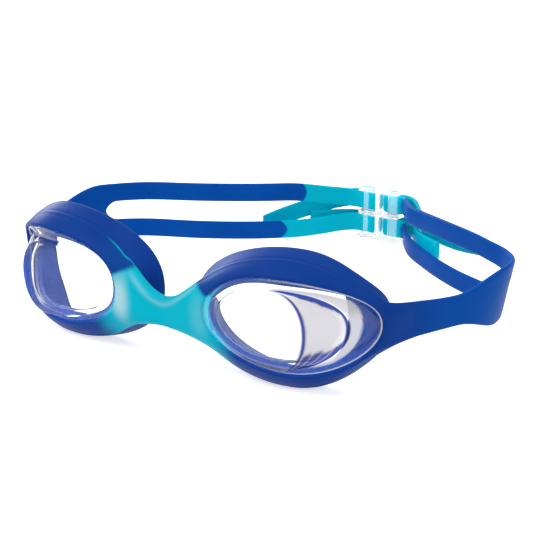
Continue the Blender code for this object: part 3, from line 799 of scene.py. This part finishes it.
def points_of(item):
    """A mesh's points, from the datum, in millimetres."""
    flat = np.zeros(len(item.data.vertices) * 3, np.float32)
    item.data.vertices.foreach_get("co", flat)
    return (flat.reshape(-1, 3) - np.array(DATUM)) * 1000


def settle(item):
    """Flatten the lowest points softly on to the floor, as the part's feet are."""
    for vertex in item.data.vertices:
        if vertex.co.z < FOOT_SOFT:
            vertex.co.z = FOOT_SOFT * math.exp(vertex.co.z / FOOT_SOFT - 1)


def node(tree, kind, **settings):
    """A new shader node with its settings."""
    made = tree.nodes.new(kind)
    for key, value in settings.items():
        setattr(made, key, value)
    return made


def layer_share(tree, name):
    """A point layer's share as a socket."""
    return node(tree, "ShaderNodeAttribute", attribute_name=name).outputs["Fac"]


def noise(tree, scale, detail, low=0.0, high=1.0):
    """Object-space noise mapped to a range."""
    place = node(tree, "ShaderNodeTexCoord")
    grain = node(tree, "ShaderNodeTexNoise")
    grain.inputs["Scale"].default_value = scale
    grain.inputs["Detail"].default_value = detail
    tree.links.new(place.outputs["Object"], grain.inputs["Vector"])
    span = node(tree, "ShaderNodeMapRange")
    for end, seen, wanted in zip(("Min", "Max"), NOISE_SPAN, (low, high)):
        span.inputs[f"From {end}"].default_value = seen
        span.inputs[f"To {end}"].default_value = wanted
    tree.links.new(grain.outputs["Fac"], span.inputs["Value"])
    return span.outputs["Result"]


def mix_colour(tree, factor, one, two):
    """Mix two colours, each a value or a socket."""
    mixer = node(tree, "ShaderNodeMix", data_type="RGBA")
    for socket, value in ((mixer.inputs[0], factor), (mixer.inputs[6], one), (mixer.inputs[7], two)):
        if hasattr(value, "is_linked"):
            tree.links.new(value, socket)
        elif isinstance(value, tuple):
            socket.default_value = (*value, 1.0)
        else:
            socket.default_value = value
    return mixer.outputs[2]


def new_material(name):
    """A material with its node tree and its shader."""
    made = bpy.data.materials.new(name)
    made.use_nodes = True
    return made, made.node_tree, made.node_tree.nodes["Principled BSDF"]


def silicone_material():
    """Satin silicone in two shots, blue and aqua, told apart by the aqua layer, with painted light on top:
    a brighter cyan on the tails and painted highlights on the bridge.
    """
    made, tree, shader = new_material("silicone")
    tone = noise(tree, scale=60.0, detail=2.0)
    cup, strap, aqua = (mix_colour(tree, tone, *pair) for pair in (CUP_BLUE, STRAP_BLUE, AQUA))
    blue = mix_colour(tree, layer_share(tree, "strap"), cup, strap)
    # Painted light: the tails' aqua brightened towards a lit cyan
    aqua = mix_colour(tree, layer_share(tree, "painted_light"), aqua, PAINTED_LIGHT_AQUA)
    colour = mix_colour(tree, layer_share(tree, "aqua"), blue, aqua)
    # Painted highlight: pale aqua on the bridge
    colour = mix_colour(tree, layer_share(tree, "pale"), colour, PAINTED_HIGHLIGHT_AQUA)
    tree.links.new(colour, shader.inputs["Base Color"])
    grain = noise(tree, scale=900.0, detail=3.0, low=0.34, high=0.44)
    tree.links.new(grain, shader.inputs["Roughness"])
    shader.inputs["Specular IOR Level"].default_value = 0.05
    shader.inputs["IOR"].default_value = 1.43
    return made


def clear_material(name, tint, roughness, ior, painted_marks=()):
    """Clear plastic that lets light through, tinted where painted reflections and shade lie on the lens,
    and less clear under the lens's painted highlights and the buckle's frost, as point layers say.
    """
    made, tree, shader = new_material(name)
    colour = mix_colour(tree, noise(tree, scale=80.0, detail=2.0), tint, WHITE)
    # Painted reflections and shade on the lens, each from a point layer
    for layer_name, shade in painted_marks:
        colour = mix_colour(tree, layer_share(tree, layer_name), colour, shade)
    tree.links.new(colour, shader.inputs["Base Color"])
    grain = noise(tree, scale=90.0, detail=1.0, low=roughness[0], high=roughness[1])
    tree.links.new(grain, shader.inputs["Roughness"])
    shader.inputs["IOR"].default_value = ior
    clear = node(tree, "ShaderNodeMapRange")
    clear.inputs["To Min"].default_value = 1.0
    clear.inputs["To Max"].default_value = FROST_AND_GLINT_TRANSMISSION
    # Less clear under the lens's painted highlights and the buckle's frost
    tree.links.new(layer_share(tree, "frost_and_glint"), clear.inputs["Value"])
    tree.links.new(clear.outputs["Result"], shader.inputs["Transmission Weight"])
    shader.inputs["Coat Weight"].default_value = 0.5
    shader.inputs["Coat Roughness"].default_value = 0.03
    path = node(tree, "ShaderNodeLightPath")
    bare = node(tree, "ShaderNodeBsdfTransparent")
    choice = node(tree, "ShaderNodeMixShader")
    tree.links.new(path.outputs["Is Shadow Ray"], choice.inputs["Fac"])
    tree.links.new(shader.outputs["BSDF"], choice.inputs[1])
    tree.links.new(bare.outputs["BSDF"], choice.inputs[2])
    tree.links.new(choice.outputs["Shader"], tree.nodes["Material Output"].inputs["Surface"])
    return made


SILICONE = silicone_material()
LENS_PLASTIC = clear_material("lens_plastic", tint=(0.985, 0.985, 1.0), roughness=(0.0, 0.02), ior=1.03,
                              painted_marks=LENS_PAINTED_REFLECTIONS)
BUCKLE_PLASTIC = clear_material("buckle_plastic", tint=(0.93, 0.97, 0.98), roughness=(0.10, 0.16), ior=1.15)


def from_seam(p, name, row):
    """Distances along and across a strand from its colour seam, and heights as shares of half its width."""
    offset = p - np.array(LINES[name].at(BLUE_END[name])) * 1000
    along = np.array(LINES[name].along(BLUE_END[name]))
    rise = (p[:, 2] - 1000 * row * strand_height(BLUE_END[name], name)) / (500 * STRAND_WIDTH)
    return offset @ along, offset @ np.array((along[1], -along[0], 0.0)), rise


def paint_moulding(item):
    """Layers for the aqua shot, the strap's blue and the painted highlights of the bridge, along its top
    edge and beside each lens.
    """
    p = points_of(item)
    face = layer_of(item, "face")
    across = np.abs(p[:, 0])
    under = ease((AQUA_TOP + AQUA_TOP_SLOPE * (AQUA_TOP_AT - across) - p[:, 2]) / AQUA_TOP_BLUR + 0.5)
    within = ease((AQUA_END - across) / AQUA_END_BLUR + 0.5)
    crease = np.exp(-((face - CREASE_FACE) / CREASE_FACE_REACH) ** 2)
    crease = crease * ease((CREASE_END - across) / CREASE_END_FADE)
    crease = crease * ease((p[:, 2] + CREASE_FOOT) / CREASE_FOOT_FADE)
    shot = np.maximum(under * within * ease(face * AQUA_FACE - AQUA_FACE_START), CREASE_STRENGTH * crease)
    past, _, rise = from_seam(p, "right", -1)
    low_strand = (p[:, 2] < 0) & (p[:, 0] < 0) & (p[:, 1] > STRAND_BEHIND)
    tongue = past + STRAND_TONGUE - STRAND_TONGUE_BOW * (1 - rise * rise)
    paint(item, "aqua", np.where(low_strand, ease(tongue / TONGUE_BLUR["right"] + 0.5), shot))
    paint(item, "strap", ease((p[:, 1] - STRAP_BLUE_FROM) / STRAP_BLUE_RUN))
    # Painted highlight in a line under the bridge's top edge
    line = bridge_edge_line(1, NOSE_HIGH, bridge_section(True)[0], True)
    curve = [bezier(line, i / BEAD_STEPS) * 1000 for i in range(BEAD_STEPS, -1, -1)]
    rim = np.interp(across, [c.x for c in curve], [c.z for c in curve])
    bead_highlight = np.exp(-((rim - p[:, 2] - BEAD_BELOW) / BEAD_REACH) ** 2)
    bead_highlight = bead_highlight * ease((BEAD_END - across) / BEAD_FADE) * BEAD_HIGHLIGHT_STRENGTH
    # Painted highlight in a patch beside each lens
    patch_highlight = np.hypot((across - PATCH_X) / PATCH_HALF_WIDTH, (p[:, 2] - PATCH_Z) / PATCH_HALF_HEIGHT)
    strength = np.where(p[:, 0] < 0, PATCH_HIGHLIGHT_STRENGTH["right"], PATCH_HIGHLIGHT_STRENGTH["left"])
    patch_highlight = ease(PATCH_EDGE - patch_highlight) * strength
    paint(item, "pale", face * shot * np.maximum(bead_highlight, patch_highlight))


def make_moulding():
    """The silicone moulding: eyecups, bridge, arms and strands in one skin."""
    work = bmesh.new()
    middle = {}
    for name, side in SIDES:
        add_moulding(work, name, side, middle)
    item = finished("silicone_moulding", work, 2)
    settle(item)
    paint_moulding(item)
    item.data.materials.append(SILICONE)
    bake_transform(item)
    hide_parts("left_eyecup", "right_eyecup", "nose_bridge", "left_strap", "right_strap")


def end_rows(name, sign, tail, row):
    """Centre points of a strap end: its run, its turn round the post and its tail."""
    line = LINES[name]
    start = BLUE_END[name]
    count = max(4, round((line.length - start) / END_STEP))
    points = []
    for i in range(count + 1):
        s = start + (line.length - start) * i / count
        points.append(line.at(s) + Vector((0, 0, row * strand_height(s, name))))
    post = BUCKLE_X + sign * POST_MIDDLE
    for i in range(FOLD_STEPS + 1):
        angle = math.pi * i / FOLD_STEPS
        points.append(Vector((post - sign * (POST_LENGTH / 2 + LEG_OFFSET * math.sin(angle)),
                              BUCKLE_Y - LEG_OFFSET * math.cos(angle), row * ROW_MIDDLE)))
    for i in range(TAIL_ROWS + 1):
        share = i / TAIL_ROWS
        s = line.length - TAIL_LENGTH[tail] * share
        outward = outward_at(line, s, sign)
        drop = TAIL_DROOP[tail] * share * share + TAIL_SAG[tail] * 4 * share * (1 - share)
        place = line.at(s) + outward * (2 * LEG_OFFSET + TAIL_SPREAD[tail] * share)
        points.append(place + Vector((0, 0, row * ROW_MIDDLE - drop)))
    return points


def hold(points):
    """The line again with points close to both ends, so that rounding leaves them square."""
    first = (points[1] - points[0]).normalized()
    last = (points[-2] - points[-1]).normalized()
    start = [points[0] + first * step for step in END_HOLD]
    end = [points[-1] + last * step for step in TAIL_HOLD]
    return [points[0]] + start + points[1:-1] + end + [points[-1]]


def add_strip(work, points):
    """A strip along a line of points, closed at both ends, with a layer that rises along its tail, which
    places the tail's painted light.
    """
    tail_layer = work.verts.layers.float.new("tail")
    last = len(STRAND_SHARES) - 1
    previous = None
    for i, point in enumerate(points):
        along = points[min(i + 1, len(points) - 1)] - points[max(i - 1, 0)]
        normal = Vector((along.y, -along.x, 0.0)).normalized()
        row_a = []
        row_b = []
        for k, share in enumerate(STRAND_SHARES):
            half = STRAND_THICKNESS / 2 * (EDGE_THICKNESS if k in (0, last) else 1.0)
            place = point + Vector((0, 0, (share - 0.5) * STRAND_WIDTH))
            row_a.append(work.verts.new(place + normal * half))
            row_b.append(work.verts.new(place - normal * half))
        loop = row_a + row_b[::-1]
        for vertex in loop:
            vertex[tail_layer] = ease((i - len(points) + TAIL_ROWS) / TAIL_FADE_ROWS)
        if previous:
            join_loops(work, previous, loop)
        if i in (0, len(points) - 1):
            for k in range(last):
                work.faces.new((row_a[k], row_a[k + 1], row_b[k + 1], row_b[k]))
        previous = loop


def paint_strap_end(item, name, tail, row):
    """Layers for the edge between blue and aqua, and for the painted light that brightens the tail."""
    p = points_of(item)
    past, beside, rise = from_seam(p, name, row)
    tongue = past - TONGUE[tail] - TONGUE_BOW * (1 - rise * rise)
    aqua = ease(tongue / TONGUE_BLUR[name] + 0.5)
    paint(item, "aqua", np.where(np.abs(beside) < TONGUE_DEPTH, aqua, 1.0))
    paint(item, "strap", np.ones(len(p)))
    # Painted light: each tail brightened along its length
    paint(item, "painted_light", layer_of(item, "tail") * TAIL_PAINTED_LIGHT[tail])


def make_strap_end(name, sign, row_name, row):
    """One aqua strap end, folded round the buckle's post."""
    tail = f"{name}_{row_name}"
    work = bmesh.new()
    add_strip(work, hold(end_rows(name, sign, tail, row)))
    item = finished(f"{tail}_end", work, 2)
    paint_strap_end(item, name, tail, row)
    item.data.materials.append(SILICONE)
    blue = LINES[name].at(BLUE_END[name])
    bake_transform(item)
    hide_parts(f"{name}_{row_name}_strap_end")


def between(angle, first, last, fade):
    """1 between two angles in degrees, eased at both ends."""
    turn = math.degrees(a_turn(angle))
    return ease((turn - first) / fade) * ease((last - turn) / fade)


def temple(angle):
    """1 on the temple half of the lens."""
    return ease(math.cos(angle) + 0.5)


def upper(angle):
    """Painted shade: grey on the wall's upper part, outside its arc."""
    return UPPER_PAINTED_SHADE * between(angle, *UPPER_SPAN)


def streak(share, depth, start):
    """Weight by angle of the painted blue along the upper arc, widening upwards, and of painted blue
    streaks low in the wall: painted reflections of the silicone.
    """
    def weight(angle):
        edge = ARC_LINE[0] + BAND_WIDENING * (math.degrees(a_turn(angle)) - BAND_AT)
        band = between(angle, *BAND_SPAN) * ease((edge - share) / BAND_BLUR + 0.5)
        return max(band, depth * between(angle, STREAK_LAST, start, STREAK_FADE))
    return weight


def sheen(share):
    """Weight by angle of the painted sheen, a lamp's reflection, between a crescent's edge and the arc, all
    of the width at the top.
    """
    def weight(angle):
        edge = SHEEN_EDGE * (1 - ((math.degrees(a_turn(angle)) - SHEEN_AT) / SHEEN_HALF) ** 2)
        return between(angle, *SHEEN_SPAN) * ease((share - edge) / SHEEN_BLUR + 0.5)
    return weight


def lens_profile(side):
    """Rows from inside to outside: points by angle, and shares of the painted grey on the wall, the painted
    dark-blue lines and the painted highlights.
    """
    inset = FLANGE_WIDTH + LENS_WALL
    inner_edge = WINDOW_EDGE + LENS_WALL

    def window(in_by, back):
        return lambda a: window_point(side, a, in_by, back)

    def rim(out, back):
        return lambda a: rim_point(side, a, out, back)

    def wall(one, two, share):
        return lambda a: one(a).lerp(two(a), share)

    def inside(share):
        window_edge = window(LENS_WALL, LENS_WALL + WINDOW_EDGE / 2)
        return wall(window_edge, rim(-inset, LENS_WALL - LENS_ROUND), share)

    def outside(share):
        return wall(rim(-FLANGE_WIDTH, -LENS_ROUND), window(0.0, WINDOW_EDGE / 2), share)

    clear = (0.0, 0.0, 0.0)
    return [
        (window(inner_edge + LENS_HOLD, LENS_WALL), *clear),
        (window(inner_edge, LENS_WALL + LENS_CROWN), *clear),
        (inside(0.0), temple, 0.0, 0.0),
        (inside(INNER_ARC[0]), temple, 0.0, 0.0),
        (inside(INNER_ARC[1]), *clear),
        (inside(1.0), *clear),
        (rim(-inset + 2 * LENS_ROUND, LENS_WALL), *clear),
        (rim(-LENS_ROUND, LENS_WALL), *clear),
        (rim(0.0, LENS_WALL - LENS_ROUND), *clear),
        (rim(0.0, LENS_ROUND), *clear),
        # Painted highlight: a white line along the flange's edge, on the temple side
        (rim(-LENS_ROUND, 0.0), 0.0, 0.0, temple),
        (rim(-FLANGE_GLINT, 0.0), *clear),
        (rim(-FLANGE_WIDTH + 2 * LENS_ROUND, 0.0), *clear),
        *((outside(share), upper, 0.0, sheen(share)) for share in SHEEN_ROWS),
        (outside(ARC_START), *clear),
        *((outside(share), temple, temple, 0.0) for share in ARC_LINE),
        *((outside(row[0]), temple, streak(*row), 0.0) for row in STREAK_ROWS),
        # Painted highlight: a glint beside the bend's painted dark line
        (outside(BEND_GLINT), temple, 0.0, temple),
        *((outside(share), temple, temple, 0.0) for share in BEND_LINE),
        (window(WINDOW_EDGE * SHOULDER_IN, WINDOW_EDGE * SHOULDER_BACK), *clear),
        (window(WINDOW_EDGE, 0.0), *clear),
        (window(WINDOW_EDGE + LENS_HOLD, 0.0), *clear),
    ]


def make_lens(name, side):
    """A clear lens cup with a rounded shoulder round its flat window."""
    angles = [2 * math.pi * i / LENS_COUNT for i in range(LENS_COUNT)]
    work = bmesh.new()
    # Point layers of painted marks: grey on the wall, dark-blue lines and streaks, and highlights
    layers = [work.verts.layers.float.new(layer) for layer in ("wall", "line", "frost_and_glint")]
    rows = []
    for point, *painted_marks in lens_profile(side):
        row = []
        for a in angles:
            row.append(work.verts.new(point(a)))
            for layer, painted_mark in zip(layers, painted_marks):
                row[-1][layer] = (painted_mark(a) if callable(painted_mark) else painted_mark) * PAINTED_MARK_STRENGTH[name]
        rows.append(row)
    for one, two in zip(rows, rows[1:]):
        join_loops(work, one, two)
    work.faces.new(rows[0])
    work.faces.new(rows[-1])
    item = finished(f"{name}_lens_cup", work, 1)
    item.data.materials.append(LENS_PLASTIC)
    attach(item, "front")
    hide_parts(f"{name}_lens")


def add_box(work, low, high):
    """A box between two corners."""
    size = Vector(high) - Vector(low)
    place = Matrix.Translation((Vector(high) + Vector(low)) / 2) @ Matrix.Diagonal((*size, 1.0))
    bmesh.ops.create_cube(work, size=1.0, matrix=place)


def make_buckle():
    """The clear buckle: rails, posts and bars with softened edges, in one moulding."""
    half = BUCKLE_LENGTH / 2
    top = BUCKLE_HALF_HEIGHT
    rails = [(-top, -top + RAIL), (-MIDDLE_RAIL / 2, MIDDLE_RAIL / 2), (top - RAIL, top)]
    posts = [
        (-CENTRE_POST / 2, CENTRE_POST / 2, -BUCKLE_FRONT, BUCKLE_BACK),
        (FRONT_BAR_AT - FRONT_BAR / 2, FRONT_BAR_AT + FRONT_BAR / 2, -BUCKLE_FRONT, -LEG_FACE - GAP),
        (half - END_PLATE, half, -BUCKLE_FRONT, -LEG_FACE - GAP),
    ]
    for sign in (-1, 1):
        posts.append((sign * POST_MIDDLE - POST_LENGTH / 2, sign * POST_MIDDLE + POST_LENGTH / 2,
                      -POST_THICKNESS / 2, POST_THICKNESS / 2))
    boxes = [((-half, -BUCKLE_FRONT, low), (half, BUCKLE_BACK, high)) for low, high in rails]
    boxes += [((a, c, -top + RAIL / 2), (b, d, top - RAIL / 2)) for a, b, c, d in posts]
    items = []
    for number, (low, high) in enumerate(boxes):
        work = bmesh.new()
        add_box(work, low, high)
        items.append(add_mesh(f"buckle_bar_{number}", work))
    body = items[0]
    for bar in items[1:]:
        step = body.modifiers.new("join", "BOOLEAN")
        step.operation = "UNION"
        step.object = bar
    edge = body.modifiers.new("edges", "BEVEL")
    edge.width = BUCKLE_SOFT
    edge.segments = 3
    edge.limit_method = "ANGLE"
    shaped = evaluated(body)
    for bar in items:
        bpy.data.objects.remove(bar, do_unlink=True)
    shaped.transform(Matrix.Translation(DATUM + Vector((BUCKLE_X, BUCKLE_Y, 0.0))))
    shaped.shade_smooth()
    shaped.set_sharp_from_angle(angle=math.radians(50))
    shaped.materials.clear()
    shaped.materials.append(BUCKLE_PLASTIC)
    item = add_object("rear_buckle", shaped)
    paint(item, "frost_and_glint", np.full(len(shaped.vertices), BUCKLE_HAZE))
    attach(item, "buckle")
    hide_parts("buckle")


def seen_directly(tree):
    """1 for rays from the camera, and for those that gloss and clear plastic pass on."""
    path = node(tree, "ShaderNodeLightPath")
    total = path.outputs["Is Camera Ray"]
    for ray in ("Is Glossy Ray", "Is Transmission Ray"):
        larger = node(tree, "ShaderNodeMath", operation="MAXIMUM")
        tree.links.new(total, larger.inputs[0])
        tree.links.new(path.outputs[ray], larger.inputs[1])
        total = larger.outputs[0]
    return total


def make_floor():
    """A pale floor that stays white to the eye and keeps the shadow."""
    work = bmesh.new()
    bmesh.ops.create_grid(work, x_segments=1, y_segments=1, size=FLOOR_HALF)
    floor = add_mesh("floor", work)
    floor.location = (0, 0, -FLOOR_DROP)
    made, tree, shader = new_material("pale_floor")
    tone = mix_colour(tree, noise(tree, scale=3.0, detail=2.0), *FLOOR_TONE)
    tree.links.new(tone, shader.inputs["Base Color"])
    shader.inputs["Roughness"].default_value = 0.9
    shader.inputs["Specular IOR Level"].default_value = 0.0
    shader.inputs["Emission Color"].default_value = (*WHITE, 1.0)
    lift = node(tree, "ShaderNodeMath", operation="MULTIPLY")
    lift.inputs[1].default_value = FLOOR_LIFT
    tree.links.new(seen_directly(tree), lift.inputs[0])
    tree.links.new(lift.outputs[0], shader.inputs["Emission Strength"])
    floor.data.materials.append(made)


def make_surround():
    """A white surround that lights the part at a lower level than it shows."""
    world = bpy.data.worlds.new("studio")
    bpy.context.scene.world = world
    world.use_nodes = True
    tree = world.node_tree
    level = node(tree, "ShaderNodeMapRange")
    level.inputs["To Min"].default_value = SURROUND_LIGHT
    tree.links.new(seen_directly(tree), level.inputs["Value"])
    back = tree.nodes["Background"]
    back.inputs["Color"].default_value = (*WHITE, 1.0)
    tree.links.new(level.outputs["Result"], back.inputs["Strength"])


def add_light(name, place, target, size, energy, gloss):
    """A soft rectangular lamp."""
    data = bpy.data.lights.new(name, "AREA")
    data.shape = "RECTANGLE"
    data.size, data.size_y = size
    data.energy = energy
    lamp = add_object(name, data)
    lamp.location = DATUM + Vector(place)
    aim = DATUM + Vector(target) - lamp.location
    lamp.rotation_euler = aim.to_track_quat("-Z", "Y").to_euler()
    lamp.visible_glossy = gloss


def make_camera():
    """The camera at the photograph's angle."""
    turn = (Matrix.Rotation(math.radians(CAMERA_AZIMUTH), 4, "Z")
            @ Matrix.Rotation(math.radians(90 - CAMERA_ELEVATION), 4, "X")
            @ Matrix.Rotation(math.radians(CAMERA_ROLL), 4, "Z"))
    data = bpy.data.cameras.new("camera")
    data.lens = CAMERA_LENS
    data.clip_start = 0.01
    item = add_object("camera", data)
    item.matrix_world = Matrix.Translation(DATUM + Vector(CAMERA_OFFSET)) @ turn
    bpy.context.scene.camera = item


make_moulding()
for name, sign in SIDES:
    make_lens(name, sign)
    for row_name, row in (("upper", 1), ("lower", -1)):
        make_strap_end(name, sign, row_name, row)
make_buckle()
make_floor()
make_surround()
for lamp in LAMPS:
    add_light(*lamp)
make_camera()
bpy.context.scene.view_settings.view_transform = "Standard"
